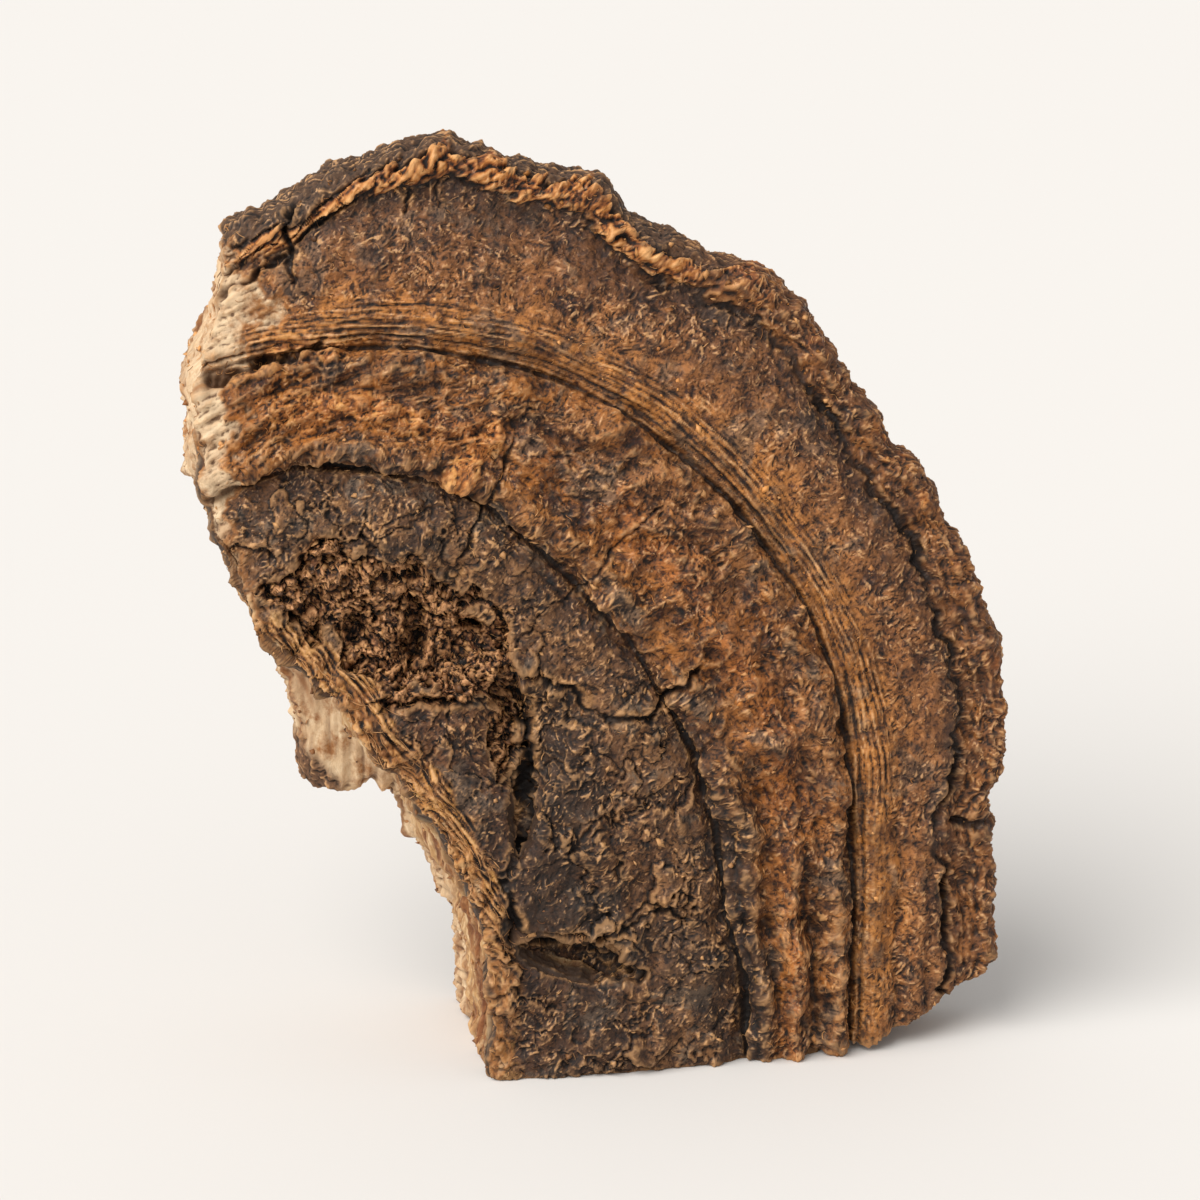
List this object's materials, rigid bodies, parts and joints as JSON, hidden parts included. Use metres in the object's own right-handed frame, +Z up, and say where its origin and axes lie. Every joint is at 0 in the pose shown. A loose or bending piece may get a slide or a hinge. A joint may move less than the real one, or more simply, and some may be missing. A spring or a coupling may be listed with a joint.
{
  "type": "dried bracket fungus",
  "caption": "Dried fan-shaped bracket fungus with ringed bark-like crust, frilled rim and broken side, standing on the flat cut where it grew on a trunk.",
  "frame": {"origin": "on the flat cut that the bracket stands on, near the middle of the cut", "axes": "+Z up from the cut towards the top of the margin, -Y the way the ringed upper surface faces, +Y the way the pores face, -X towards the broken side"},
  "size_m": [0.1629, 0.0496, 0.1818],
  "materials": {
    "dried_crust": "dry, matt, bark-like crust in dark grey-brown and tan rings, with a golden brown rim and pale broken flesh"
  },
  "bodies": {
    "root": {"bracket": "dried_crust"}
  },
  "joints": []
}
